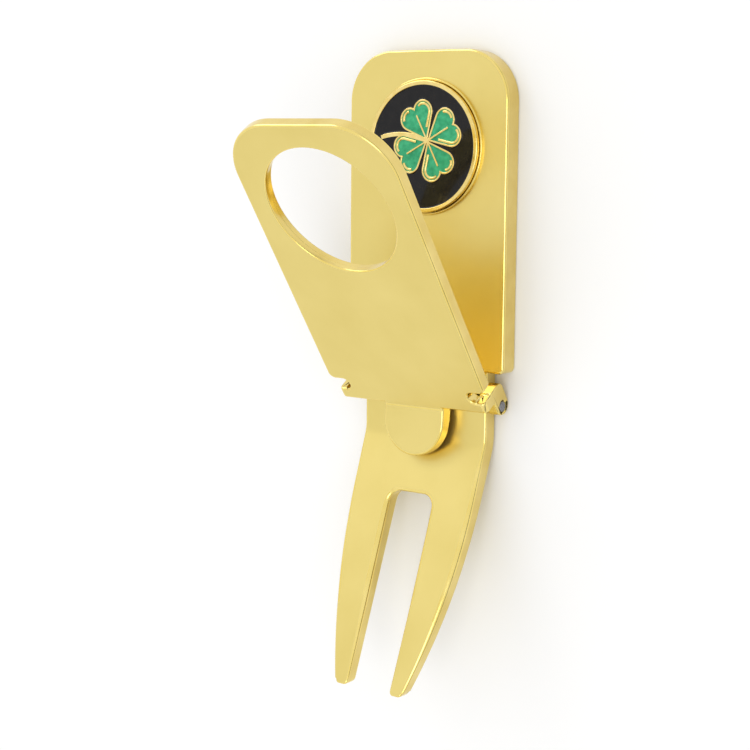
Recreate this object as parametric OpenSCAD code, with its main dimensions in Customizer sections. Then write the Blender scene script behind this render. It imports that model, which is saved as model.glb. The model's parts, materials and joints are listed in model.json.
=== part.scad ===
// Hinged divot tool: a forked golf tool with a spring clip over a magnetic ball marker.
// The head lies on its flat back. X is across, Y runs towards the head's round end, Z is up
// from the back. The origin is on the back face, on the ball marker's axis.

/* [Head] */
// Width of the head and of the clip cover
head_w = 35; // [32:0.5:38]
// Distance from the marker's axis to the round end of the head
head_top = 17.5; // [16:0.5:20]
// Distance from the marker's axis to the square end of the head
head_bottom = 40.7; // [40:0.1:41]
// Thickness of the head
head_t = 4; // [3.8:0.1:4.1]
// Corner radius at the round end of the head
head_top_r = 9.3; // [7:0.1:11]
// Corner radius at the square end of the head
head_bottom_r = 1.1; // [0.5:0.1:2]

/* [Neck and fork] */
// Width of the neck and of the top of the fork
neck_w = 27.4; // [26:0.1:27.5]
// Thickness of the neck and of the root of the fork
neck_t = 3.2; // [3:0.1:3.4]
// Distance from the marker's axis to the bend, on the front
bend_y = 53.6; // [53.3:0.1:54]
// Angle that the fork leans forward
fork_angle = 21; // [16:0.5:22]
// Radius of the bend on its back
bend_r = 9; // [6:0.5:10]
// Distance from the marker's axis to the tips
tip_y = 98.8; // [92:0.2:102]
// Thickness of the fork at its tips
tip_t = 2.6; // [2:0.1:3]
// Width across the two tips
tip_w = 15.1; // [14:0.1:16]
// Distance from the marker's axis to where the fork starts to narrow
taper_y = 62.8; // [60:0.2:66]
// How sharply the outline curves in
taper_power = 2.1; // [1.6:0.1:2.6]
// Width of the slot between the prongs
slot_w = 9.6; // [8.6:0.1:10]
// Distance from the marker's axis to the closed end of the slot
slot_y = 64.1; // [62:0.1:66]
// Corner radius at the closed end of the slot
slot_r = 2.2; // [1:0.1:4]
// Corner radius at the tips
tip_r = 0.8; // [0.3:0.1:1]

/* [Hinge] */
// Distance from the marker's axis to the hinge axis
hinge_y = 46.8; // [46.6:0.1:47]
// Height of the hinge axis above the back
hinge_z = 2.1; // [2:0.05:2.15]
// Angle at which the clip stands open
open_angle = 34.5; // [0:0.5:34.5]
// Pin radius
pin_r = 1; // [0.8:0.05:1]
// Radial clearance of the pin in the neck
pin_running = 0.05; // [0.02:0.01:0.08]
// Radial clearance of the pin in the clip's ears
pin_seat = 0.01; // [0.01:0.005:0.02]
// How far the ends of the pin lie below the ears
pin_sink = 0.12; // [0.05:0.01:0.2]
// Width of the window in the neck for the spring
window_w = 9; // [7:0.5:10]
// Half length of the window along the neck
window_reach = 2.3; // [2:0.1:2.5]

/* [Spring] */
// Wire diameter of the spring
wire_d = 0.5; // [0.4:0.05:0.5]
// Radial clearance between the spring and its pin
spring_gap = 0.1; // [0.05:0.05:0.15]
// Length of the close wound coil
coil_l = 8; // [5:0.5:8]
// Length of the spring's two legs
leg_l = 5.4; // [4:0.1:6]
// Angle between the front leg and the neck
leg_angle = 10; // [8:0.5:11]

/* [Clip cover] */
// Thickness of the clip cover
cover_t = 2.4; // [2:0.1:2.6]
// Gap between the closed clip cover and the head
cover_gap = 0.4; // [0.3:0.05:0.6]
// Distance from the marker's axis to the lower edge of the cover's full width
cover_end = 39.8; // [39.6:0.1:40]
// Radius of the ring's hole
ring_r = 13; // [12.8:0.1:13.5]
// Radius of the step at the back of the ring's hole
ring_step_r = 13.3; // [13.1:0.1:13.6]
// Corner radius at the round end of the cover
cover_top_r = 10.7; // [8:0.1:12]
// Corner radius at the lower corners of the cover
cover_bottom_r = 1.3; // [0.5:0.1:2]
// Width of the rail that joins the cover to its ears
rail_w = 33; // [32.8:0.1:33.4]
// Width of one side notch
notch_w = 2.4; // [2:0.1:2.6]
// Distance from the hinge axis up to the lower edge of the rail
rail_low = 2.3; // [2.2:0.05:2.4]
// Distance from the hinge axis up to the lower edge of the notches
rail_high = 4.5; // [4.3:0.05:4.6]
// Width of the neck of the cover between the two notches
notch_inner_w = 26.8; // [24:0.2:27]
// Thickness of an ear
ear_t = 2.45; // [2.3:0.05:2.5]
// Distance from the hinge axis down to the end of an ear
ear_low = 1.55; // [1.5:0.05:1.7]
// Distance from the hinge axis up to the top of an ear
ear_high = 4.6; // [4.5:0.1:4.8]
// Width of the thumb tab
tab_w = 13.2; // [12:0.2:14]
// Length of the thumb tab from its crease
tab_l = 9.1; // [8:0.1:9.1]
// Angle between the thumb tab and the cover
tab_angle = 38; // [38:0.5:40]

/* [Ball marker] */
// Radius of the ball marker
coin_r = 12; // [11.8:0.1:12]
// Thickness of the ball marker
coin_t = 1.6; // [1.4:0.1:1.8]
// Radial clearance of the ball marker in its seat
coin_gap = 0.08; // [0.05:0.01:0.1]
// Outer radius of the raised seat
seat_r = 12.5; // [12.4:0.05:12.6]
// Height of the raised seat above the head
seat_h = 0.6; // [0.4:0.05:0.7]
// Depth of the seat
seat_depth = 0.8; // [0.6:0.05:1]
// Radius of the enamelled field
field_r = 11.2; // [10.8:0.1:11.4]
// Depth of the enamel pockets
pocket_d = 0.45; // [0.3:0.05:0.6]
// How far the enamel lies below the raised metal lines
enamel_low = 0.1; // [0.05:0.05:0.2]
// Radius of the magnet
magnet_r = 5; // [4:0.5:6]
// Thickness of the magnet
magnet_t = 1.4; // [1:0.1:1.6]

/* [Clover] */
// Distance of the clover's centre to the right of the marker's axis
clover_x = 1.1; // [-2:0.1:2]
// Distance of the clover's centre above the marker's axis
clover_y = 1.1; // [-2:0.1:2]
// Direction of the first leaf
leaf_turn = 28; // [0:1:89]
// Distance from the clover's centre to the centres of a leaf's two lobes
lobe_reach = 5.2; // [5:0.1:5.3]
// Half distance between the two lobes
lobe_side = 1.6; // [1.5:0.05:1.65]
// Radius of a lobe
lobe_r = 2.15; // [2.1:0.05:2.2]
// Width of the raised metal lines
line_w = 0.36; // [0.3:0.02:0.4]
// Length of the vein in each leaf
vein_l = 5; // [3:0.1:5.2]
// Radius of the raised spot where the leaves meet
heart_r = 0.45; // [0.35:0.05:0.5]
// Radius that the clover's stalk is bent to
stalk_bend_r = 16; // [14:0.5:17]
// Width of the stalk
stalk_w = 0.8; // [0.75:0.05:0.9]
// Angle of the bend that the stalk runs through
stalk_sweep = 38; // [30:1:38]

/* [Hidden] */
$fn = 96;

// Heights in the head
seat_floor_z = head_t + seat_h - seat_depth;
coin_top_z = seat_floor_z + coin_t;
pocket_z = coin_top_z - pocket_d;
neck_low_z = (head_t - neck_t) / 2;
neck_high_z = neck_low_z + neck_t;

// The fork's side profile, from the bend to the tips
tip_high_z = neck_high_z + (tip_y - bend_y) * tan(fork_angle);
tip_low_z = tip_high_z - tip_t / cos(fork_angle);
back_bend_y = bend_y + neck_t * tan(fork_angle / 2);
bend_steps = 10;
neck_overlap = 0.5;

// The fork's outline
outline_steps = 28;
outline_rise = (neck_w - tip_w) / 2;
function taper_part(i) = i / outline_steps;
function taper_at(part) = neck_w / 2 - outline_rise * pow(part, taper_power);
function taper_place(part) = -taper_y - (tip_y - taper_y) * part;

// The cover's planes, measured from the hinge axis, with the clip closed
cover_back = head_t + cover_gap - hinge_z;
cover_front = cover_back + cover_t;
cover_low = hinge_y - cover_end;
rail_r = 1;
// The heights of the ears' back and front above the head's back, with the clip closed
ear_back_z = 0.05;
ear_front_z = 3.95;
ear_back = ear_back_z - hinge_z;
ear_front = ear_front_z - hinge_z;
ear_end_r = 1.95;
ear_top_r = 1.3;
tab_drop = 0.36;
tab_crease = rail_low - tab_drop;
tab_back_crease = tab_crease - cover_t * tan(tab_angle / 2);
tab_straight = tab_l - tab_w / 2;
tab_lap = 0.4;
tab_root = 0.3;
countersink_r = 1.4;
countersink_depth = 0.3;

// The coil
coil_in_r = pin_r + spring_gap;
coil_out_r = coil_in_r + wire_d;
coil_mid_r = coil_in_r + wire_d / 2;
leg_x = coil_l / 2 - wire_d / 2;
// The legs are drawn a little thinner than the coil, so that they cross its surface cleanly.
leg_slack = 0.04;
leg_d = wire_d - leg_slack;
// The groove that the back leg lies in
groove_w = wire_d + 0.3;
groove_clear = 0.05;
groove_over = 0.4;

// The stalk
stalk_turn = 149;
bend_fn = 360;
stalk_dir = leaf_turn + stalk_turn;
lobe_dist = norm([lobe_reach, lobe_side]);
// A leaf's straight edges meet its lobes just inside a true tangent, so that the outline stays clean.
edge_slack = 0.3;
lobe_tangent = asin(lobe_r / lobe_dist) + atan2(lobe_side, lobe_reach) - edge_slack;

// Reach of the cuts, how far they run past a face, and how far joined shapes overlap
far = 60;
over = 1;
lap = 0.5;
corner_lap = 0.1;

// ---------- shared shapes ----------

// A plate's outline with one radius at its two top corners and another at its bottom ones.
module plate_outline(w, low, high, low_r, high_r) {
    union() {
        for (side = [-1, 1]) {
            translate([side * (w / 2 - high_r), high - high_r])
                circle(r = high_r);
            translate([side * (w / 2 - low_r), low + low_r])
                circle(r = low_r);
        }
        translate([-w / 2, low + low_r])
            square([w, high - low - low_r - high_r]);
        translate([-w / 2 + high_r, high - high_r - lap])
            square([w - 2 * high_r, high_r + lap]);
        translate([-w / 2 + low_r, low])
            square([w - 2 * low_r, low_r + lap]);
    }
}

// Extrudes a profile drawn in Y and Z across the object, between two X positions.
module across(x_from, x_to) {
    translate([x_from, 0, 0])
        rotate([90, 0, 90])
            linear_extrude(height = x_to - x_from)
                children();
}

// A round bar along X, centred on the hinge axis.
module bar(r, length) {
    rotate([0, 90, 0])
        cylinder(r = r, h = length, center = true);
}

// ---------- base ----------

module head_body() {
    linear_extrude(height = head_t)
        plate_outline(head_w, -head_bottom, head_top, head_bottom_r, head_top_r);
    cylinder(r = seat_r, h = head_t + seat_h);
}

// Points round a bend, from the neck towards the fork. The corner is where the two straight
// faces would meet, and the arc that replaces it has its centre above the neck.
function bend_arc(corner_y, z, r) = [
    for (i = [0 : bend_steps])
        let (turn = fork_angle * i / bend_steps)
        let (start_y = -corner_y + r * tan(fork_angle / 2))
        [start_y - r * sin(turn), z + r * (1 - cos(turn))]
];

function turned_round(points) = [for (i = [len(points) - 1 : -1 : 0]) points[i]];

// The neck and fork seen from the side.
module fork_profile() {
    polygon(concat(
        [[-head_bottom + neck_overlap, neck_low_z]],
        [[-head_bottom + neck_overlap, neck_high_z]],
        bend_arc(bend_y, neck_high_z, bend_r - neck_t),
        [[-tip_y, tip_high_z]],
        [[-tip_y, tip_low_z]],
        turned_round(bend_arc(back_bend_y, neck_low_z, bend_r))
    ));
}

// One half of the neck and fork seen from the front, with the corners of its tip rounded.
module fork_half_outline() {
    tip_half_w = tip_w / 2;
    union() {
        polygon(concat(
            [[0, -head_bottom + neck_overlap]],
            [[neck_w / 2, -head_bottom + neck_overlap]],
            [for (i = [0 : outline_steps - 1]) [taper_at(taper_part(i)), taper_place(taper_part(i))]],
            [[tip_half_w, -tip_y + tip_r]],
            [[0, -tip_y + tip_r]]
        ));
        translate([tip_half_w - tip_r, -tip_y + tip_r])
            circle(r = tip_r);
        translate([slot_w / 2 + tip_r, -tip_y + tip_r])
            circle(r = tip_r);
        translate([slot_w / 2 + tip_r, -tip_y])
            square([tip_half_w - slot_w / 2 - 2 * tip_r, tip_r]);
    }
}

module fork_outline() {
    difference() {
        union() {
            fork_half_outline();
            mirror([1, 0])
                fork_half_outline();
        }
        for (side = [-1, 1])
            translate([side * (slot_w / 2 - slot_r), -slot_y - slot_r])
                circle(r = slot_r);
        translate([-slot_w / 2, -tip_y - over])
            square([slot_w, tip_y + over - slot_y - slot_r]);
        translate([-slot_w / 2 + slot_r, -slot_y - slot_r - over])
            square([slot_w - 2 * slot_r, slot_r + over]);
    }
}

module neck_and_fork() {
    intersection() {
        across(-neck_w, neck_w)
            fork_profile();
        linear_extrude(height = far)
            fork_outline();
    }
}

module base_plate() {
    color("#dcc66e")
        difference() {
            union() {
                head_body();
                neck_and_fork();
            }
            translate([0, 0, seat_floor_z])
                cylinder(r = coin_r + coin_gap, h = far);
            translate([0, 0, seat_floor_z - magnet_t])
                cylinder(r = magnet_r + coin_gap, h = far);
            translate([0, -hinge_y, hinge_z])
                bar(pin_r + pin_running, head_w);
            translate([-window_w / 2, -hinge_y - window_reach, -over])
                cube([window_w, 2 * window_reach, head_t + 2 * over]);
            translate([-leg_x - groove_w / 2, -hinge_y - leg_l - groove_over, -over])
                cube([groove_w, leg_l, over + hinge_z - coil_mid_r + wire_d / 2 + groove_clear]);
        }
}

module marker_magnet() {
    color("#5c5e62")
        translate([0, 0, seat_floor_z - magnet_t])
            cylinder(r = magnet_r, h = magnet_t);
}

// ---------- clip ----------

// The cover's outline: the plate down to the notches, then the neck between them.
module cover_outline() {
    difference() {
        union() {
            plate_outline(head_w, cover_low, hinge_y + head_top, cover_bottom_r, cover_top_r);
            translate([-notch_inner_w / 2 - notch_w / 2, rail_low])
                square([notch_inner_w + notch_w, cover_low - rail_low + 2 * over]);
        }
        for (side = [-1, 1])
            translate([side * (notch_inner_w / 2 + notch_w / 2), cover_low - notch_w / 2])
                circle(r = notch_w / 2);
    }
}

module cover_plate() {
    translate([0, 0, cover_back])
        difference() {
            linear_extrude(height = cover_t)
                cover_outline();
            translate([0, hinge_y, -over])
                cylinder(r = ring_r, h = far);
            translate([0, hinge_y, -over])
                cylinder(r = ring_step_r, h = over + cover_t / 2);
        }
}

// The rail's outline seen from the end: flat in front, rounded where it turns into the arms.
module rail_profile() {
    difference() {
        union() {
            for (side = [-1, 1])
                translate([side * (rail_w / 2 - rail_r), cover_front - rail_r])
                    circle(r = rail_r);
            translate([-rail_w / 2 + rail_r, cover_front - rail_r])
                square([rail_w - 2 * rail_r, rail_r]);
            translate([-rail_w / 2, ear_front - lap])
                square([rail_w, cover_front - ear_front + lap - rail_r]);
        }
        translate([-rail_w / 2 + ear_t, ear_front - over])
            square([rail_w - 2 * ear_t, cover_back - ear_front + over]);
    }
}

module rail_and_arms() {
    translate([0, rail_high, 0])
        rotate([90, 0, 0])
            linear_extrude(height = rail_high - rail_low)
                rail_profile();
}

// One ear seen from the side: round at its lower end, with one soft corner at the back.
module ear_profile() {
    mid = (ear_front + ear_back) / 2;
    union() {
        translate([-ear_low + ear_end_r, mid])
            circle(r = ear_end_r);
        translate([-ear_low + ear_end_r, mid - ear_end_r])
            square([ear_high - ear_top_r + ear_low - ear_end_r, 2 * ear_end_r]);
        translate([ear_high - ear_top_r, ear_back + ear_top_r])
            circle(r = ear_top_r);
        translate([ear_high - ear_top_r - corner_lap, ear_back + ear_top_r])
            square([ear_top_r + corner_lap, ear_front - ear_back - ear_top_r]);
    }
}

// The bend between the rail and the thumb tab, seen from the side.
module tab_bend_profile() {
    polygon([
        [rail_low + tab_root, cover_back],
        [rail_low + tab_root, cover_front],
        [tab_crease, cover_front],
        [tab_crease - tab_lap * cos(tab_angle), cover_front + tab_lap * sin(tab_angle)],
        [
            tab_crease - tab_lap * cos(tab_angle) - cover_t * sin(tab_angle),
            cover_front + tab_lap * sin(tab_angle) - cover_t * cos(tab_angle)
        ],
        [tab_back_crease, cover_back]
    ]);
}

module tab() {
    across(-tab_w / 2, tab_w / 2)
        tab_bend_profile();
    translate([0, tab_crease, cover_front])
        rotate([-tab_angle, 0, 0])
            translate([0, 0, -cover_t])
                linear_extrude(height = cover_t)
                    difference() {
                        union() {
                            translate([0, -tab_straight])
                                circle(r = tab_w / 2);
                            translate([-tab_w / 2, -tab_straight])
                                square([tab_w, tab_straight + tab_lap]);
                        }
                        translate([-tab_w, tab_lap])
                            square([2 * tab_w, tab_w]);
                    }
}

// The whole cover, closed, with the hinge axis at the origin.
module cover_shape() {
    difference() {
        union() {
            cover_plate();
            rail_and_arms();
            tab();
            for (side = [0, 1])
                mirror([side, 0, 0])
                    across(rail_w / 2 - ear_t, rail_w / 2)
                        ear_profile();
        }
        bar(pin_r + pin_seat, head_w);
        for (side = [-1, 1])
            translate([side * rail_w / 2, 0, 0])
                rotate([0, -side * 90, 0])
                    cylinder(r1 = countersink_r, r2 = pin_r, h = countersink_depth);
    }
}

module clip_cover() {
    color("#e8d988")
        translate([0, -hinge_y, hinge_z])
            rotate([open_angle, 0, 0])
                cover_shape();
}

module hinge_pin() {
    color("#8e9094")
        translate([0, -hinge_y, hinge_z])
            bar(pin_r, rail_w - 2 * pin_sink);
}

// The coil is a plain sleeve here, with one leg along the back and one leg under the tab.
module hinge_spring() {
    color("#b9bcc0")
        translate([0, -hinge_y, hinge_z]) {
            difference() {
                bar(coil_out_r, coil_l);
                bar(coil_in_r, coil_l + 2 * over);
            }
            translate([-leg_x, 0, -coil_mid_r])
                rotate([90, 0, 0])
                    cylinder(d = leg_d, h = leg_l);
            translate([leg_x, 0, 0])
                rotate([90 - leg_angle, 0, 0])
                    translate([0, coil_mid_r, 0])
                        cylinder(d = leg_d, h = leg_l);
        }
}

// ---------- ball marker ----------

// One leaf pointing along X, drawn larger or smaller than its raised line by extra.
module leaf_outline(extra) {
    r = lobe_r + extra;
    point = -extra / sin(lobe_tangent);
    union() {
        for (side = [-1, 1])
            translate([lobe_reach, side * lobe_side])
                circle(r = r);
        polygon([
            [point, 0],
            [lobe_reach - r * sin(lobe_tangent), -lobe_side - r * cos(lobe_tangent)],
            [lobe_reach, 0],
            [lobe_reach - r * sin(lobe_tangent), lobe_side + r * cos(lobe_tangent)]
        ]);
    }
}

module at_leaf(k) {
    translate([clover_x, clover_y])
        rotate(leaf_turn + 90 * k)
            children();
}

// The curved stalk: a piece of a ring that starts at the clover's centre.
module stalk_outline() {
    half = stalk_sweep / 2;
    reach = 2 * stalk_bend_r;
    translate([clover_x, clover_y])
        rotate(stalk_dir - 180)
            translate([-stalk_bend_r * sin(half), -stalk_bend_r * cos(half)])
                intersection() {
                    difference() {
                        circle(r = stalk_bend_r + stalk_w / 2, $fn = bend_fn);
                        circle(r = stalk_bend_r - stalk_w / 2, $fn = bend_fn);
                    }
                    polygon([
                        [0, 0],
                        [reach * sin(half), reach * cos(half)],
                        [-reach * sin(half), reach * cos(half)]
                    ]);
                }
}

// The area that the clover and its stalk take out of the black field.
module clover_outline() {
    union() {
        for (k = [0 : 3])
            at_leaf(k)
                leaf_outline(0);
        stalk_outline();
        translate([clover_x, clover_y])
            circle(r = heart_r);
    }
}

// The enamel of one leaf: inside its raised line, with the vein left standing.
module leaf_enamel_outline() {
    difference() {
        leaf_outline(-line_w);
        translate([0, -line_w / 2])
            square([vein_l, line_w]);
        translate([vein_l, 0])
            circle(d = line_w);
    }
}

module marker_coin() {
    color("#d9bd5c")
        translate([0, 0, seat_floor_z])
            difference() {
                cylinder(r = coin_r, h = coin_t);
                translate([0, 0, coin_t - pocket_d])
                    linear_extrude(height = far)
                        union() {
                            difference() {
                                circle(r = field_r);
                                clover_outline();
                            }
                            for (k = [0 : 3])
                                at_leaf(k)
                                    leaf_enamel_outline();
                        }
            }
}

module black_enamel() {
    color("#26252a")
        translate([0, 0, pocket_z])
            linear_extrude(height = pocket_d - enamel_low)
                difference() {
                    circle(r = field_r);
                    clover_outline();
                }
}

module leaf_enamel(k) {
    color("#3fb07c")
        translate([0, 0, pocket_z])
            linear_extrude(height = pocket_d - enamel_low)
                at_leaf(k)
                    leaf_enamel_outline();
}

base_plate();
marker_magnet();
clip_cover();
hinge_pin();
hinge_spring();
marker_coin();
black_enamel();
leaf_enamel(0);  // leaf_enamel_1
leaf_enamel(1);  // leaf_enamel_2
leaf_enamel(2);  // leaf_enamel_3
leaf_enamel(3);  // leaf_enamel_4
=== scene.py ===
"""Divot repair tool: the finished surfaces and materials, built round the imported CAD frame.

Everything is in metres in the CAD frame: X across the tool, Y along it towards the head's round
end, Z up from the head's flat back. The sizes below are in millimetres and are scaled by MM.
"""

import json
import math

import bmesh
import bpy
from mathutils import Matrix, Vector


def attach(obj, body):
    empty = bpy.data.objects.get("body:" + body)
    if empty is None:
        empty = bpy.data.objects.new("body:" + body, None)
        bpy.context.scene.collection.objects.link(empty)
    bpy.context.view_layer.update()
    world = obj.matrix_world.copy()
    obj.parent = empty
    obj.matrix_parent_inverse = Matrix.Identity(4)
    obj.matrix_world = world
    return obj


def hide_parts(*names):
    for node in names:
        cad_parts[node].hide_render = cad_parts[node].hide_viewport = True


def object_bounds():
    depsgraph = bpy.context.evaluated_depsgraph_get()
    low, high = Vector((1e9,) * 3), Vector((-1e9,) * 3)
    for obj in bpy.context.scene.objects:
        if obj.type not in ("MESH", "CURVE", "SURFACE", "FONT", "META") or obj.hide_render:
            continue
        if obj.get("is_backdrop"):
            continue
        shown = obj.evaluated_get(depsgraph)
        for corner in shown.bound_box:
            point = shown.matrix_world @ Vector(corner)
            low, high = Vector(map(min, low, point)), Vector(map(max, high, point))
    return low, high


MM = 0.001

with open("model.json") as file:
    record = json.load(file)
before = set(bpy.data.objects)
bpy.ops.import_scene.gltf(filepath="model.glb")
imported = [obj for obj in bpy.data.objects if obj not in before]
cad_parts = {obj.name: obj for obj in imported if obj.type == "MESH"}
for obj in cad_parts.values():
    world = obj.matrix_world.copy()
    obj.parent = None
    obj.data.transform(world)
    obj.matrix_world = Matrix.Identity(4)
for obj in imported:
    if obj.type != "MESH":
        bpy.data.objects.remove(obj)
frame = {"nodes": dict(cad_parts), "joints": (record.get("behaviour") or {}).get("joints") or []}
cad_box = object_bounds()

hinge = next(j for j in frame["joints"] if j["name"] == "clip_hinge")
HINGE = Vector(hinge["pos_m"])
OPEN_ANGLE = -math.radians(hinge["range_deg"][0])

# Vertices closer than this, in metres, are one. Edges over this angle, in degrees, stay crisp.
SAME_POINT = 1e-7
CRISP_OVER = 50


# ---------------------------------------------------------------- sizes, in millimetres

# Head: a flat plate with broad round corners at its far end
HEAD_W = 35.0
HEAD_BOTTOM = 40.7
HEAD_TOP = 17.5
HEAD_T = 4.0
HEAD_TOP_R = 9.3
HEAD_BOTTOM_R = 1.1
HEAD_EDGE = 0.45

# Round seat for the coin, with the magnet's hollow in its floor
SEAT_R = 12.5
SEAT_TOP = 4.6
SEAT_FLOOR = 3.8
SEAT_IN_R = 12.08
SEAT_LIP = 0.15
SEAT_BOTTOM = 1.9
MAGNET_FLOOR = 2.4
MAGNET_IN_R = 5.08
POCKET_R = 12.3
POCKET_FLOOR = 2.0

# Neck and fork
NECK_W = 27.4
NECK_T = 3.2
NECK_MID_Z = 2.0
NECK_LAP = 1.0
BEND_Y = 53.6
FORK_ANGLE = math.radians(21)
BEND_R = 9.0
TIP_Y = 98.8
TIP_T = 2.6
TIP_W = 15.1
TAPER_Y = 62.8
TAPER_POWER = 2.1
SLOT_W = 9.6
SLOT_Y = 64.1
SLOT_R = 2.2
TIP_R = 0.8
BACK_EDGE = 0.45
NECK_EDGE = 0.4
PRONG_EDGE_MORE = 0.55
EDGE_GROWS_Y = 54
EDGE_GROWS_OVER = 16
EDGE_FADES_OVER = 14

BEND_START = -BEND_Y + (BEND_R - NECK_T) * math.tan(FORK_ANGLE / 2)
TIP_HIGH_Z = NECK_MID_Z + NECK_T / 2 + (TIP_Y - BEND_Y) * math.tan(FORK_ANGLE)
TIP_LOW_Z = TIP_HIGH_Z - TIP_T / math.cos(FORK_ANGLE)

# Clip cover
COVER_EDGE = 0.38
RING_EDGE = 0.26
FINE_EDGE = 0.1
TAB_ANGLE = math.radians(38)
TAB_ROOT_Y = -44.9

# Pin, spring, and the window and groove that the spring lies in
PIN_R = 1.0
PIN_EDGE = 0.18
BORE_R = 1.05
WIRE_D = 0.5
WIRE_SLACK = 0.04
COIL_L = 8.0
COIL_TURNS = 14
LEG_L = 5.4
LEG_ANGLE = 11
WINDOW_W = 9.0
WINDOW_REACH = 2.3
GROOVE_SIDE = 0.4
GROOVE_TOP = 1.05

# Marker: the lines' top, and a leaf made of two lobes
MAGNET_EDGE = 0.12
COIN_EDGE = 0.22
LINE_EDGE = 0.12
LINE_TOP = 5.4
LOBE_REACH = 5.2
LOBE_SIDE = 1.6
LOBE_R = 2.15
CLOVER_AT = (1.1, 1.1)
LEAF_TURN = 28
INNER_LINE_R = 0.28
INNER_LINE_IN = 0.74

# Cutters reach past the plates, from below the back to above the seat.
CUT_LOW = -1.0
CUT_HIGH = 6.0


# ---------------------------------------------------------------- materials

def new_material(name):
    """A node material, with what is needed to wire it up."""
    material = bpy.data.materials.new(name)
    material.use_nodes = True
    nodes = material.node_tree.nodes
    shader = nodes["Principled BSDF"]
    return material, nodes, material.node_tree.links, shader


def noise(nodes, links, scale, detail=3.0, roughness=0.5, stretch=None):
    """A noise texture over the object's own coordinates, with scale in cycles a metre."""
    place = nodes.new("ShaderNodeTexCoord")
    texture = nodes.new("ShaderNodeTexNoise")
    texture.inputs["Scale"].default_value = scale
    texture.inputs["Detail"].default_value = detail
    texture.inputs["Roughness"].default_value = roughness
    if stretch:
        squeeze = nodes.new("ShaderNodeMapping")
        squeeze.inputs["Scale"].default_value = stretch
        links.new(place.outputs["Object"], squeeze.inputs["Vector"])
        links.new(squeeze.outputs["Vector"], texture.inputs["Vector"])
    else:
        links.new(place.outputs["Object"], texture.inputs["Vector"])
    return texture


def ramp(nodes, links, source, low, high, start=0.3, end=0.7):
    """Two colours spread over a texture's grey value."""
    steps = nodes.new("ShaderNodeValToRGB")
    steps.color_ramp.elements[0].position = start
    steps.color_ramp.elements[0].color = (*low, 1)
    steps.color_ramp.elements[1].position = end
    steps.color_ramp.elements[1].color = (*high, 1)
    links.new(source.outputs["Fac"], steps.inputs["Fac"])
    return steps


def spread(nodes, links, source, low, high):
    """A texture's grey value moved into a range."""
    span = nodes.new("ShaderNodeMapRange")
    span.inputs["From Min"].default_value = 0.25
    span.inputs["From Max"].default_value = 0.75
    span.inputs["To Min"].default_value = low
    span.inputs["To Max"].default_value = high
    links.new(source.outputs["Fac"], span.inputs["Value"])
    return span


def add_bump(nodes, links, shader, source, depth_mm, strength):
    """Fine relief from a texture's grey value."""
    bump = nodes.new("ShaderNodeBump")
    bump.inputs["Strength"].default_value = strength
    bump.inputs["Distance"].default_value = depth_mm * MM
    links.new(source.outputs["Fac"], bump.inputs["Height"])
    links.new(bump.outputs["Normal"], shader.inputs["Normal"])


def satin_gold():
    """Pearl gold plating on the flats: a fine blasted grain under soft, cloudy tone changes."""
    material, nodes, links, shader = new_material("satin_gold")
    cloud = noise(nodes, links, 60, detail=4)
    tone = ramp(nodes, links, cloud, (0.77, 0.62, 0.20), (0.83, 0.68, 0.24))
    links.new(tone.outputs["Color"], shader.inputs["Base Color"])
    grain = noise(nodes, links, 9000, detail=2)
    rough = spread(nodes, links, grain, 0.30, 0.42)
    links.new(rough.outputs["Result"], shader.inputs["Roughness"])
    add_bump(nodes, links, shader, grain, 0.004, 0.35)
    shader.inputs["Metallic"].default_value = 1.0
    return material


def polished_gold(name, low, high):
    """Buffed gold plating on the edges, with faint polishing waves and fine hairlines."""
    material, nodes, links, shader = new_material(name)
    cloud = noise(nodes, links, 160, detail=3)
    tone = ramp(nodes, links, cloud, low, high)
    links.new(tone.outputs["Color"], shader.inputs["Base Color"])
    hairs = noise(nodes, links, 1500, detail=2, stretch=(1.0, 0.12, 1.0))
    rough = spread(nodes, links, hairs, 0.10, 0.19)
    links.new(rough.outputs["Result"], shader.inputs["Roughness"])
    waves = noise(nodes, links, 420, detail=1)
    add_bump(nodes, links, shader, waves, 0.02, 0.25)
    shader.inputs["Metallic"].default_value = 1.0
    return material


def line_gold():
    """The raised metal lines and rim of the marker."""
    material, nodes, links, shader = new_material("line_gold")
    cloud = noise(nodes, links, 700, detail=3)
    tone = ramp(nodes, links, cloud, (0.84, 0.63, 0.20), (0.93, 0.75, 0.31))
    links.new(tone.outputs["Color"], shader.inputs["Base Color"])
    rough = spread(nodes, links, cloud, 0.10, 0.18)
    links.new(rough.outputs["Result"], shader.inputs["Roughness"])
    add_bump(nodes, links, shader, cloud, 0.012, 0.3)
    shader.inputs["Metallic"].default_value = 1.0
    return material


def enamel(name, low, high, waves_mm):
    """Fired enamel: glossy, a little uneven, with tone changes where it lies thicker."""
    material, nodes, links, shader = new_material(name)
    cloud = noise(nodes, links, 900, detail=4)
    tone = ramp(nodes, links, cloud, low, high)
    links.new(tone.outputs["Color"], shader.inputs["Base Color"])
    ripple = noise(nodes, links, 1100, detail=2)
    add_bump(nodes, links, shader, ripple, waves_mm, 0.5)
    rough = spread(nodes, links, cloud, 0.07, 0.15)
    links.new(rough.outputs["Result"], shader.inputs["Roughness"])
    shader.inputs["IOR"].default_value = 1.5
    shader.inputs["Specular IOR Level"].default_value = 0.16
    shader.inputs["Coat Weight"].default_value = 0.22
    shader.inputs["Coat Roughness"].default_value = 0.03
    return material


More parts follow.
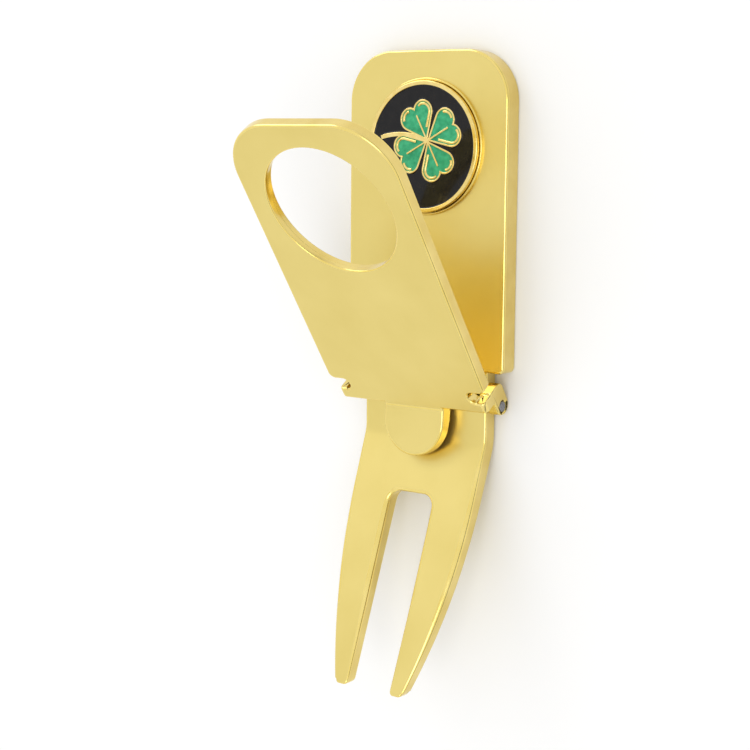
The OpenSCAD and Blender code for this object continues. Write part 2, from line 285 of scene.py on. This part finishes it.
def steel(name, low, high, rough_low, rough_high, scale):
    """Drawn or plated steel with fine lengthways marks."""
    material, nodes, links, shader = new_material(name)
    marks = noise(nodes, links, scale, detail=3, stretch=(0.15, 1.0, 1.0))
    tone = ramp(nodes, links, marks, low, high)
    links.new(tone.outputs["Color"], shader.inputs["Base Color"])
    rough = spread(nodes, links, marks, rough_low, rough_high)
    links.new(rough.outputs["Result"], shader.inputs["Roughness"])
    add_bump(nodes, links, shader, marks, 0.005, 0.3)
    shader.inputs["Metallic"].default_value = 1.0
    return material


def pale_floor():
    """A plain, nearly white floor."""
    material, nodes, links, shader = new_material("pale_floor")
    cloud = noise(nodes, links, 3, detail=2)
    tone = ramp(nodes, links, cloud, (0.88, 0.88, 0.88), (0.9, 0.9, 0.9))
    links.new(tone.outputs["Color"], shader.inputs["Base Color"])
    shader.inputs["Roughness"].default_value = 0.9
    return material


SATIN = satin_gold()
POLISHED = polished_gold("polished_gold", (0.82, 0.64, 0.18), (0.90, 0.73, 0.26))
# The side walls get the polished gold made darker: painted shade, since the plating there is the same
# gold.
SHADED_SIDE = polished_gold("shaded_side_gold", (0.72, 0.55, 0.17), (0.82, 0.66, 0.25))
LINE = line_gold()
BLACK = enamel("black_enamel", (0.004, 0.004, 0.005), (0.009, 0.008, 0.008), 0.012)
GREEN = enamel("green_enamel", (0.02, 0.30, 0.13), (0.06, 0.48, 0.23), 0.03)
PIN_STEEL = steel("pin_steel", (0.18, 0.18, 0.19), (0.32, 0.32, 0.34), 0.22, 0.34, 2500)
SPRING_STEEL = steel("spring_steel", (0.52, 0.53, 0.55), (0.68, 0.69, 0.7), 0.16, 0.26, 2500)
MAGNET_METAL = steel("magnet_metal", (0.42, 0.43, 0.45), (0.56, 0.57, 0.58), 0.18, 0.32, 1200)


# ---------------------------------------------------------------- mesh helpers

def to_object(bm, name, materials):
    """A finished mesh: smooth shading whose normals follow the flat faces and stop at corners."""
    bmesh.ops.recalc_face_normals(bm, faces=bm.faces)
    for face in bm.faces:
        face.smooth = True
    for edge in sharp_edges(bm, over=CRISP_OVER):
        edge.smooth = False
    mesh = bpy.data.meshes.new(name)
    bm.to_mesh(mesh)
    bm.free()
    obj = bpy.data.objects.new(name, mesh)
    bpy.context.scene.collection.objects.link(obj)
    for material in materials:
        mesh.materials.append(material)
    weigh = obj.modifiers.new("even_normals", "WEIGHTED_NORMAL")
    weigh.mode = "FACE_AREA"
    weigh.weight = 80
    weigh.keep_sharp = True
    return obj


def put_on(obj, body, slot, *nodes):
    """Makes a piece ride a body, in place of the CAD nodes named. The slot is not used."""
    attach(obj, body)
    if nodes:
        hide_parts(*nodes)


def cad_bmesh(node):
    """A node's own shape with its flat faces made whole, ready for its edges to be rounded."""
    bm = bmesh.new()
    bm.from_mesh(frame["nodes"][node].data)
    bmesh.ops.remove_doubles(bm, verts=bm.verts, dist=SAME_POINT)
    bmesh.ops.dissolve_limit(bm, angle_limit=math.radians(0.4), verts=bm.verts, edges=bm.edges)
    return bm


def sharp_edges(bm, over=35):
    """The edges between two faces that meet at more than an angle in degrees."""
    limit = math.radians(over)
    return [e for e in bm.edges if len(e.link_faces) == 2 and e.calc_face_angle(0) > limit]


def round_off(bm, edges, width_mm, segments=3):
    """Rounds edges, and leaves out those that an earlier rounding has used up."""
    live = [e for e in edges if e.is_valid]
    if live:
        bmesh.ops.bevel(
            bm, geom=live, offset=width_mm * MM, offset_type="OFFSET", segments=segments,
            profile=0.5, affect="EDGES", clamp_overlap=False, material=-1,
        )


def mirror_right_half(bm):
    """Makes the left half of a mesh the exact mirror of its right half."""
    geom = bm.verts[:] + bm.edges[:] + bm.faces[:]
    bmesh.ops.bisect_plane(bm, geom=geom, plane_co=(0, 0, 0), plane_no=(-1, 0, 0), clear_outer=True)
    copied = bmesh.ops.duplicate(bm, geom=bm.verts[:] + bm.edges[:] + bm.faces[:])["geom"]
    left = [item for item in copied if isinstance(item, bmesh.types.BMVert)]
    flipped = [item for item in copied if isinstance(item, bmesh.types.BMFace)]
    for vert in left:
        vert.co.x = -vert.co.x
    bmesh.ops.reverse_faces(bm, faces=flipped)
    bmesh.ops.remove_doubles(bm, verts=bm.verts, dist=SAME_POINT)


def closed_cover_point(point):
    """Where a point of the open clip lies when the clip is shut."""
    return HINGE + Matrix.Rotation(-OPEN_ANGLE, 3, "X") @ (point - HINGE)


# ---------------------------------------------------------------- base

def arc(cx, cy, r, start, end, steps=12):
    """Points on an arc, in degrees, both ends included."""
    turns = [math.radians(start + (end - start) * i / steps) for i in range(steps + 1)]
    return [(cx + r * math.cos(t), cy + r * math.sin(t)) for t in turns]


def inset_points(outline, depth_at):
    """An outline, walked anticlockwise, moved inwards by a depth that may change along it."""
    count = len(outline)
    moved = []
    for i, (x, y) in enumerate(outline):
        ax, ay = outline[i - 1]
        bx, by = outline[(i + 1) % count]
        before = Vector((x - ax, y - ay)).normalized()
        after = Vector((bx - x, by - y)).normalized()
        way = before + after
        normal = Vector((-way.y, way.x)).normalized()
        stretch = 1 / max(0.6, normal.dot(Vector((-before.y, before.x))))
        depth = depth_at(x, y) * stretch
        moved.append((x + normal.x * depth, y + normal.y * depth))
    return moved


def plate(bm, outline, levels):
    """Skins a plate from its outline: each level is a list of points with a height, from the
    front cap to the back cap."""
    rings = [[bm.verts.new((x, y, z)) for (x, y), z in level] for level in levels]
    for upper, lower in zip(rings, rings[1:]):
        for i in range(len(outline)):
            j = (i + 1) % len(outline)
            bm.faces.new((upper[i], lower[i], lower[j], upper[j]))
    return bm.faces.new(rings[0]), bm.faces.new(list(reversed(rings[-1])))


def rounded_levels(outline, front, back, edge_at, turns=4):
    """The levels of a plate whose two edges are rounded by a depth that may change along it."""
    levels = []
    for side, z in ((1, front), (-1, back)):
        ring_turns = range(turns + 1) if side == 1 else range(turns, -1, -1)
        for k in ring_turns:
            angle = math.pi / 2 * k / turns
            inward = inset_points(outline, lambda x, y: edge_at(x, y, side) * (1 - math.sin(angle)))
            drop = [edge_at(x, y, side) * (1 - math.cos(angle)) for x, y in outline]
            levels.append([(p, z - side * d) for p, d in zip(inward, drop)])
    return levels


def head_outline():
    """The head seen from the front, walked anticlockwise."""
    half = HEAD_W / 2
    top = HEAD_TOP - HEAD_TOP_R
    low = -HEAD_BOTTOM + HEAD_BOTTOM_R
    points = arc(half - HEAD_TOP_R, top, HEAD_TOP_R, 0, 90, 28)
    points += arc(-half + HEAD_TOP_R, top, HEAD_TOP_R, 90, 180, 28)
    points += arc(-half + HEAD_BOTTOM_R, low, HEAD_BOTTOM_R, 180, 270, 8)
    points += arc(half - HEAD_BOTTOM_R, low, HEAD_BOTTOM_R, 270, 360, 8)
    return points


def taper_half_width(y):
    """Half the fork's width at a place along Y."""
    part = max(0.0, (-y - TAPER_Y) / (TIP_Y - TAPER_Y))
    return NECK_W / 2 - (NECK_W - TIP_W) / 2 * part ** TAPER_POWER


def fork_outline():
    """The neck and fork seen from the front, walked anticlockwise from the top right corner."""
    top = -HEAD_BOTTOM + NECK_LAP
    steps = 44
    neck_steps = 10
    slot_steps = 24
    right = []
    for i in range(steps + 1):
        y = -TAPER_Y - (TIP_Y - TIP_R - TAPER_Y) * i / steps
        right.append((taper_half_width(y), y))
    neck = [(NECK_W / 2, top + (-TAPER_Y - top) * i / neck_steps) for i in range(neck_steps)]
    prong_right = TIP_W / 2
    prong_left = SLOT_W / 2
    tip = arc(prong_right - TIP_R, -TIP_Y + TIP_R, TIP_R, 0, -90, 6)[1:]
    tip += arc(prong_left + TIP_R, -TIP_Y + TIP_R, TIP_R, -90, -180, 6)
    slot_low = -TIP_Y + TIP_R
    slot_high = -SLOT_Y - SLOT_R
    slot_part = (slot_high - slot_low) / slot_steps
    slot = [(prong_left, slot_low + slot_part * i) for i in range(1, slot_steps)]
    slot += arc(prong_left - SLOT_R, slot_high, SLOT_R, 0, 90, 8)
    half = neck + right + tip + slot
    other = [(-x, y) for x, y in reversed(half)]
    clockwise = half + other
    return list(reversed(clockwise))


def fork_edge(x, y, side):
    """How wide the fork's edge is rounded: fine on the neck, broad along the prongs."""
    if side == -1:
        return BACK_EDGE
    grow = min(1.0, max(0.0, (-y - EDGE_GROWS_Y) / EDGE_GROWS_OVER))
    fade = min(1.0, max(0.0, (TIP_Y + y) / EDGE_FADES_OVER))
    return NECK_EDGE + PRONG_EDGE_MORE * grow * fade


def fork_height(reach, radius, low, end_low):
    """Height of one face of the fork at a distance past the start of the bend."""
    arc_reach = radius * math.sin(FORK_ANGLE)
    if reach <= 0:
        return low
    if reach <= arc_reach:
        return low + radius - math.sqrt(radius * radius - reach * reach)
    arc_rise = radius * (1 - math.cos(FORK_ANGLE))
    part = (reach - arc_reach) / (TIP_Y + BEND_START - arc_reach)
    return low + arc_rise + (end_low - low - arc_rise) * part


def bent(point):
    """Moves a point of the flat neck and fork to its place between the bent faces."""
    x, y, h = point
    reach = BEND_START - y
    front = fork_height(reach, BEND_R - NECK_T, NECK_MID_Z + NECK_T / 2, TIP_HIGH_Z)
    back = fork_height(reach, BEND_R, NECK_MID_Z - NECK_T / 2, TIP_LOW_Z)
    part = h / NECK_T + 0.5
    return Vector((x, y, back + (front - back) * part))


def build_fork(bm):
    """The neck and fork as a flat plate, sliced across so that it can bend, and then bent."""
    outline = fork_outline()
    levels = rounded_levels(outline, NECK_T / 2, -NECK_T / 2, fork_edge)
    plate(bm, outline, levels)
    bend_step, bend_slices = 0.28, 14
    fork_step, fork_slices = 5.0, 8
    fork_cuts_start = -58.0
    bend_cuts = [BEND_START - bend_step * i for i in range(bend_slices)]
    fork_cuts = [fork_cuts_start - fork_step * i for i in range(fork_slices)]
    for cut_y in bend_cuts + fork_cuts:
        geom = bm.verts[:] + bm.edges[:] + bm.faces[:]
        bmesh.ops.bisect_plane(bm, geom=geom, plane_co=(0, cut_y, 0), plane_no=(0, 1, 0), dist=1e-5)
    for vert in bm.verts:
        vert.co = bent(vert.co) * MM


def lathe(bm, profile, steps=128):
    """Turns a profile of (radius, height) points round the marker's axis."""
    rings = []
    for r, z in profile:
        if r == 0:
            rings.append([bm.verts.new((0, 0, z * MM))])
            continue
        turns = [2 * math.pi * i / steps for i in range(steps)]
        rings.append([bm.verts.new((r * math.cos(t) * MM, r * math.sin(t) * MM, z * MM)) for t in turns])
    for a, b in zip(rings, rings[1:]):
        for i in range(steps):
            j = (i + 1) % steps
            corners = [a[i % len(a)], a[j % len(a)], b[j % len(b)], b[i % len(b)]]
            unique = list(dict.fromkeys(corners))
            if len(unique) > 2:
                bm.faces.new(unique)


def cutter(name, bm):
    """A mesh as an object of its own, for the booleans. It is gone once it has been used."""
    mesh = bpy.data.meshes.new(name)
    bmesh.ops.recalc_face_normals(bm, faces=bm.faces)
    bm.to_mesh(mesh)
    bm.free()
    obj = bpy.data.objects.new(name, mesh)
    bpy.context.scene.collection.objects.link(obj)
    return obj


def cut(bm, shapes):
    """Cuts solids out of a mesh with exact booleans and returns the new mesh."""
    obj = cutter("work", bm)
    for shape in shapes:
        hole = obj.modifiers.new("hole", "BOOLEAN")
        hole.operation = "DIFFERENCE"
        hole.solver = "EXACT"
        hole.object = shape
    bpy.context.view_layer.update()
    evaluated = obj.evaluated_get(bpy.context.evaluated_depsgraph_get())
    result = bmesh.new()
    result.from_mesh(evaluated.to_mesh())
    evaluated.to_mesh_clear()
    for used in [obj] + shapes:
        mesh = used.data
        bpy.data.objects.remove(used)
        bpy.data.meshes.remove(mesh)
    return result


def block(name, low, high):
    """A box between two corners in millimetres, used as a cutter."""
    bm = bmesh.new()
    bmesh.ops.create_cube(bm, size=1.0)
    size = Vector(high) - Vector(low)
    middle = (Vector(high) + Vector(low)) / 2
    for vert in bm.verts:
        vert.co = Vector([vert.co[i] * size[i] + middle[i] for i in range(3)]) * MM
    return cutter(name, bm)


def rod(name, r, low_x, high_x, centre, steps=48):
    """A round bar along X, used as a cutter."""
    bm = bmesh.new()
    ends = []
    for x in (low_x, high_x):
        turns = [2 * math.pi * i / steps for i in range(steps)]
        ends.append([
            bm.verts.new((x * MM, centre.y + r * math.cos(t) * MM, centre.z + r * math.sin(t) * MM))
            for t in turns
        ])
    for i in range(steps):
        j = (i + 1) % steps
        bm.faces.new((ends[0][i], ends[0][j], ends[1][j], ends[1][i]))
    bm.faces.new(ends[0])
    bm.faces.new(ends[1])
    return cutter(name, bm)


def polish_edges(bm, up_at):
    """Satin on the flats, bright polish on the rounded edges, and on the sides the polish in a darker
    tone as painted shade.
    """
    flat_from, side_below = 0.985, 0.17
    for face in bm.faces:
        lies = abs(face.normal.dot(up_at(face.calc_center_median())))
        face.material_index = 0 if lies > flat_from else 2 if lies < side_below else 1


def build_base():
    """Head, seat and fork: three closed shells that overlap, in one object."""
    bm = bmesh.new()
    outline = head_outline()
    levels = rounded_levels(outline, HEAD_T, 0, lambda x, y, side: HEAD_EDGE)
    plate(bm, outline, levels)
    bmesh.ops.scale(bm, vec=(MM, MM, MM), verts=bm.verts)
    pocket = bmesh.new()
    lathe(pocket, [(0, POCKET_FLOOR), (POCKET_R, POCKET_FLOOR), (POCKET_R, CUT_HIGH), (0, CUT_HIGH)])
    bm = cut(bm, [cutter("pocket", pocket)])
    lip, in_lip, magnet_lip = SEAT_LIP, 0.08, 0.1
    nick = lip * 0.3
    lathe(bm, [
        (0, SEAT_BOTTOM), (SEAT_R, SEAT_BOTTOM),
        (SEAT_R, SEAT_TOP - lip), (SEAT_R - nick, SEAT_TOP - nick), (SEAT_R - lip, SEAT_TOP),
        (SEAT_IN_R + in_lip, SEAT_TOP), (SEAT_IN_R, SEAT_TOP - in_lip), (SEAT_IN_R, SEAT_FLOOR),
        (MAGNET_IN_R + magnet_lip, SEAT_FLOOR), (MAGNET_IN_R, SEAT_FLOOR - magnet_lip),
        (MAGNET_IN_R, MAGNET_FLOOR), (0, MAGNET_FLOOR),
    ])
    fork = bmesh.new()
    build_fork(fork)
    bmesh.ops.recalc_face_normals(fork, faces=fork.faces)
    pin_y = HINGE.y / MM
    window_low = (-WINDOW_W / 2, pin_y - WINDOW_REACH, CUT_LOW)
    window_high = (WINDOW_W / 2, pin_y + WINDOW_REACH, CUT_HIGH)
    leg_x = -(COIL_L - WIRE_D) / 2
    groove_low = (leg_x - GROOVE_SIDE, pin_y - LEG_L - GROOVE_SIDE, CUT_LOW)
    groove_high = (leg_x + GROOVE_SIDE, pin_y - GROOVE_SIDE, GROOVE_TOP)
    fork = cut(fork, [
        block("window", window_low, window_high),
        block("groove", groove_low, groove_high),
        rod("bore", BORE_R, -20, 20, HINGE),
    ])
    mesh = bpy.data.meshes.new("fork_part")
    fork.to_mesh(mesh)
    fork.free()
    bm.from_mesh(mesh)
    bpy.data.meshes.remove(mesh)
    bm.normal_update()
    fork_up = Vector((0, math.sin(FORK_ANGLE), math.cos(FORK_ANGLE)))

    bend_from, bend_over = 52.5, 3.0

    def up_at(point):
        down = -point.y / MM
        part = min(1.0, max(0.0, (down - bend_from) / bend_over))
        return Vector((0, 0, 1)).lerp(fork_up, part).normalized()

    polish_edges(bm, up_at)
    obj = to_object(bm, "base_body", [SATIN, POLISHED, SHADED_SIDE])
    put_on(obj, "base", "gold_satin", "base_plate")


# ---------------------------------------------------------------- clip

def build_cover():
    """The CAD's cover with its edges rounded: broad round the plate, less round the ring's hole,
    and least at the hole's back step and the pin's holes."""
    bm = cad_bmesh("clip_cover")
    hole_r, step_r, hole_front_z = 13.1, 13.6, 6
    pin_hole_r, ear_x = 1.5, 13
    fine, ring, broad = [], [], []
    for edge in sharp_edges(bm):
        shut = closed_cover_point((edge.verts[0].co + edge.verts[1].co) / 2) / MM
        from_ring = Vector((shut.x, shut.y)).length
        from_pin = math.hypot(shut.y - HINGE.y / MM, shut.z - HINGE.z / MM)
        if from_ring < hole_r and shut.z > hole_front_z:
            ring.append(edge)
        elif from_ring < step_r or (from_pin < pin_hole_r and abs(shut.x) > ear_x):
            fine.append(edge)
        else:
            broad.append(edge)
    round_off(bm, broad, COVER_EDGE, 4)
    round_off(bm, ring, RING_EDGE, 3)
    round_off(bm, fine, FINE_EDGE, 2)
    mirror_right_half(bm)
    bm.normal_update()
    turn = Matrix.Rotation(OPEN_ANGLE, 3, "X")
    cover_up = turn @ Vector((0, 0, 1))
    tab_up = turn @ Matrix.Rotation(-TAB_ANGLE, 3, "X") @ Vector((0, 0, 1))

    def up_at(point):
        shut = closed_cover_point(point) / MM
        return tab_up if shut.y < TAB_ROOT_Y else cover_up

    polish_edges(bm, up_at)
    obj = to_object(bm, "clip_body", [SATIN, POLISHED, SHADED_SIDE])
    put_on(obj, "clip", "gold_satin", "clip_cover")


def build_pin():
    """The CAD's pin with its ends rounded."""
    bm = cad_bmesh("hinge_pin")
    round_off(bm, sharp_edges(bm), PIN_EDGE)
    obj = to_object(bm, "hinge_pin_body", [PIN_STEEL])
    put_on(obj, "clip", "pin_steel", "hinge_pin")


def wire_piece(name, points, radius_mm, material):
    """A round wire through the points, as a closed mesh."""
    curve = bpy.data.curves.new(name, "CURVE")
    curve.dimensions = "3D"
    curve.bevel_depth = radius_mm * MM
    curve.bevel_resolution = 4
    curve.use_fill_caps = True
    line = curve.splines.new("POLY")
    line.points.add(len(points) - 1)
    for spot, point in zip(line.points, points):
        spot.co = (*point, 1)
    holder = bpy.data.objects.new(name, curve)
    bpy.context.scene.collection.objects.link(holder)
    bpy.context.view_layer.update()
    evaluated = holder.evaluated_get(bpy.context.evaluated_depsgraph_get())
    bm = bmesh.new()
    bm.from_mesh(evaluated.to_mesh())
    evaluated.to_mesh_clear()
    bpy.data.objects.remove(holder)
    bpy.data.curves.remove(curve)
    bmesh.ops.remove_doubles(bm, verts=bm.verts, dist=SAME_POINT)
    return to_object(bm, name, [material])


def build_spring():
    """A close wound coil on the pin. The coil and its back leg stay on the base. The last turn
    and the front leg go with the clip, a hair's breadth beside the coil."""
    wire_r = (WIRE_D - WIRE_SLACK) / 2
    pin_slack = 0.1
    mid_r = PIN_R + pin_slack + WIRE_D / 2
    leg_x = (COIL_L - WIRE_D) / 2
    coil_end_x = leg_x - 1.1 * WIRE_D
    turn_steps = 32
    total = COIL_TURNS * turn_steps
    points = []
    for i in range(total + 1):
        part = i / total
        angle = -math.pi / 2 + 2 * math.pi * COIL_TURNS * part
        x = -leg_x + (coil_end_x + leg_x) * part
        points.append(HINGE + Vector((x, mid_r * math.cos(angle), mid_r * math.sin(angle))) * MM)
    back = HINGE + Vector((-leg_x, -LEG_L, -mid_r)) * MM
    coil = wire_piece("spring_coil", [back] + points, wire_r, SPRING_STEEL)
    put_on(coil, "base", "spring_steel", "hinge_spring")
    lift = math.radians(LEG_ANGLE)
    foot = Vector((leg_x, mid_r * math.sin(lift), mid_r * math.cos(lift)))
    way = Vector((0, -math.cos(lift), math.sin(lift)))
    turn = arc(0, 0, mid_r, -190, 90 - LEG_ANGLE, 24)
    leg_points = [HINGE + Vector((leg_x, y, z)) * MM for y, z in turn]
    leg_points += [HINGE + (foot + way * reach) * MM for reach in (1.5, 3.0, 4.2, LEG_L)]
    leg = wire_piece("spring_front_leg", leg_points, wire_r, SPRING_STEEL)
    put_on(leg, "clip", "spring_steel")


# ---------------------------------------------------------------- marker

def build_magnet():
    """The CAD's disc magnet with its edges rounded."""
    bm = cad_bmesh("marker_magnet")
    round_off(bm, sharp_edges(bm), MAGNET_EDGE)
    obj = to_object(bm, "magnet_disc", [MAGNET_METAL])
    put_on(obj, "base", "magnet", "marker_magnet")


def build_coin():
    """The CAD's coin with its rim and its raised lines rounded."""
    bm = cad_bmesh("marker_coin")
    rim_from_r, line_depth = 11.9, 0.05
    rim, lines = [], []
    for edge in sharp_edges(bm):
        middle = (edge.verts[0].co + edge.verts[1].co) / 2 / MM
        if Vector((middle.x, middle.y)).length > rim_from_r:
            rim.append(edge)
        elif middle.z > LINE_TOP - line_depth:
            lines.append(edge)
    round_off(bm, rim, COIN_EDGE, 4)
    round_off(bm, lines, LINE_EDGE)
    obj = to_object(bm, "coin_body", [LINE])
    put_on(obj, "marker", "gold_polished", "marker_coin")


def build_enamel(node, material, slot):
    """A fill whose surface dips in three steps, from the lines round it to its flat middle."""
    bm = bmesh.new()
    bm.from_mesh(frame["nodes"][node].data)
    weld = 0.03
    bmesh.ops.remove_doubles(bm, verts=bm.verts, dist=weld * MM)
    bm.normal_update()
    field = [f for f in bm.faces if f.normal.z > 0.99]
    top = max(v.co.z for v in bm.verts)
    for reach, drop in ((0.04, 0.0), (0.07, 0.04), (0.08, 0.08)):
        bmesh.ops.inset_region(bm, faces=field, thickness=reach * MM, depth=0, use_even_offset=False)
        for vert in {v for f in field for v in f.verts}:
            vert.co.z = top - drop * MM
    flat = set(field)
    for edge in {e for f in field for e in f.edges}:
        edge.smooth = all(f in flat for f in edge.link_faces)
    obj = to_object(bm, node + "_fill", [material])
    put_on(obj, "marker", slot, node)


def build_inner_lines():
    """The second line inside each leaf: over both lobes, and on down the side of one."""
    lobe_start, short_reach, long_reach = 18, 78, 128
    side_end = (2.3, -0.98)
    for k in range(4):
        turn = Matrix.Rotation(math.radians(LEAF_TURN + 90 * k), 3, "Z")
        centre = Vector((*CLOVER_AT, LINE_TOP - INNER_LINE_R))
        for side in (-1, 1):
            reach = short_reach if side == 1 else long_reach
            r = LOBE_R - INNER_LINE_IN
            flat = arc(LOBE_REACH, side * LOBE_SIDE, r, -side * lobe_start, side * reach, 20)
            if side == -1:
                flat.append(side_end)
            points = [(turn @ Vector((x, y, 0)) + centre) * MM for x, y in flat]
            name = f"leaf_line_{k + 1}_{'a' if side == 1 else 'b'}"
            line = wire_piece(name, points, INNER_LINE_R, LINE)
            put_on(line, "marker", "gold_polished")


# ---------------------------------------------------------------- stage

def build_stage():
    """The floor, a hair below the head's back so that the two never share a plane."""
    bm = bmesh.new()
    bmesh.ops.create_grid(bm, x_segments=4, y_segments=4, size=3.0)
    mesh = bpy.data.meshes.new("floor")
    bm.to_mesh(mesh)
    bm.free()
    floor = bpy.data.objects.new("floor", mesh)
    floor.location.z = -0.05 * MM
    mesh.materials.append(pale_floor())
    bpy.context.scene.collection.objects.link(floor)
    floor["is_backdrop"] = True


def soft_light(name, place, aim, size, power):
    """A square area light in metres and watts, turned to face a point."""
    data = bpy.data.lights.new(name, "AREA")
    data.shape = "SQUARE"
    data.size = size
    data.energy = power
    light = bpy.data.objects.new(name, data)
    light.location = place
    light.rotation_euler = (Vector(aim) - Vector(place)).to_track_quat("-Z", "Y").to_euler()
    bpy.context.scene.collection.objects.link(light)


def world_ramp(nodes, links, source, start, end, low=0.0, high=1.0):
    """Maps a value that runs from start to end onto low to high, held at both ends."""
    step = nodes.new("ShaderNodeMapRange")
    step.inputs["From Min"].default_value = start
    step.inputs["From Max"].default_value = end
    step.inputs["To Min"].default_value = low
    step.inputs["To Max"].default_value = high
    links.new(source, step.inputs["Value"])
    return step.outputs["Result"]


def build_lights():
    """A white sky that is dim only low down on the +X side, and two soft lights."""
    world = bpy.data.worlds.new("studio")
    bpy.context.scene.world = world
    world.use_nodes = True
    nodes = world.node_tree.nodes
    links = world.node_tree.links
    place = nodes.new("ShaderNodeTexCoord")
    split = nodes.new("ShaderNodeSeparateXYZ")
    links.new(place.outputs["Generated"], split.inputs["Vector"])
    most = nodes.new("ShaderNodeMath")
    most.operation = "MAXIMUM"
    links.new(world_ramp(nodes, links, split.outputs["Z"], 0.1, 0.32), most.inputs[0])
    links.new(world_ramp(nodes, links, split.outputs["X"], 0.55, 0.1), most.inputs[1])
    glow = world_ramp(nodes, links, most.outputs["Value"], 0.0, 1.0, low=0.12, high=0.98)
    background = nodes["Background"]
    background.inputs["Color"].default_value = (1.0, 1.0, 1.0, 1)
    links.new(glow, background.inputs["Strength"])
    soft_light("key", place=(0.3, -0.1, 0.75), aim=(0, -0.03, 0), size=0.35, power=1.0)
    soft_light("rim", place=(-0.52, 0.62, 0.27), aim=(0, -0.02, 0.01), size=0.5, power=1.8)


def build_camera():
    """A long lens, looking down on the front from the right."""
    place_mm = Vector((180.88, 2.26, 262.72))
    forward = Vector((-0.5904, -0.1398, -0.7949)).normalized()
    right = Vector((0.8028, 0.0, -0.5962)).normalized()
    right = (right - forward * right.dot(forward)).normalized()
    roll = math.radians(0.437)
    up = right.cross(forward)
    tilted = right * math.cos(roll) + up * math.sin(roll)
    up = tilted.cross(forward)
    data = bpy.data.cameras.new("camera")
    data.lens = 81.96
    data.sensor_width = 36
    data.clip_start = 0.01
    camera = bpy.data.objects.new("camera", data)
    turn = Matrix((tilted, up, -forward)).transposed()
    camera.matrix_world = Matrix.Translation(place_mm * MM) @ turn.to_4x4()
    bpy.context.scene.collection.objects.link(camera)
    bpy.context.scene.camera = camera


build_base()
build_cover()
build_pin()
build_spring()
build_magnet()
build_coin()
build_enamel("black_enamel", BLACK, "enamel_black")
for leaf in range(1, 5):
    build_enamel(f"leaf_enamel_{leaf}", GREEN, "enamel_green")
build_inner_lines()
build_stage()
build_lights()
build_camera()
bpy.context.scene.view_settings.view_transform = "Standard"

sizes = {"cad": cad_box, "visual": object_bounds()}
sizes = {name: [[float(v) for v in corner] for corner in box] for name, box in sizes.items()}
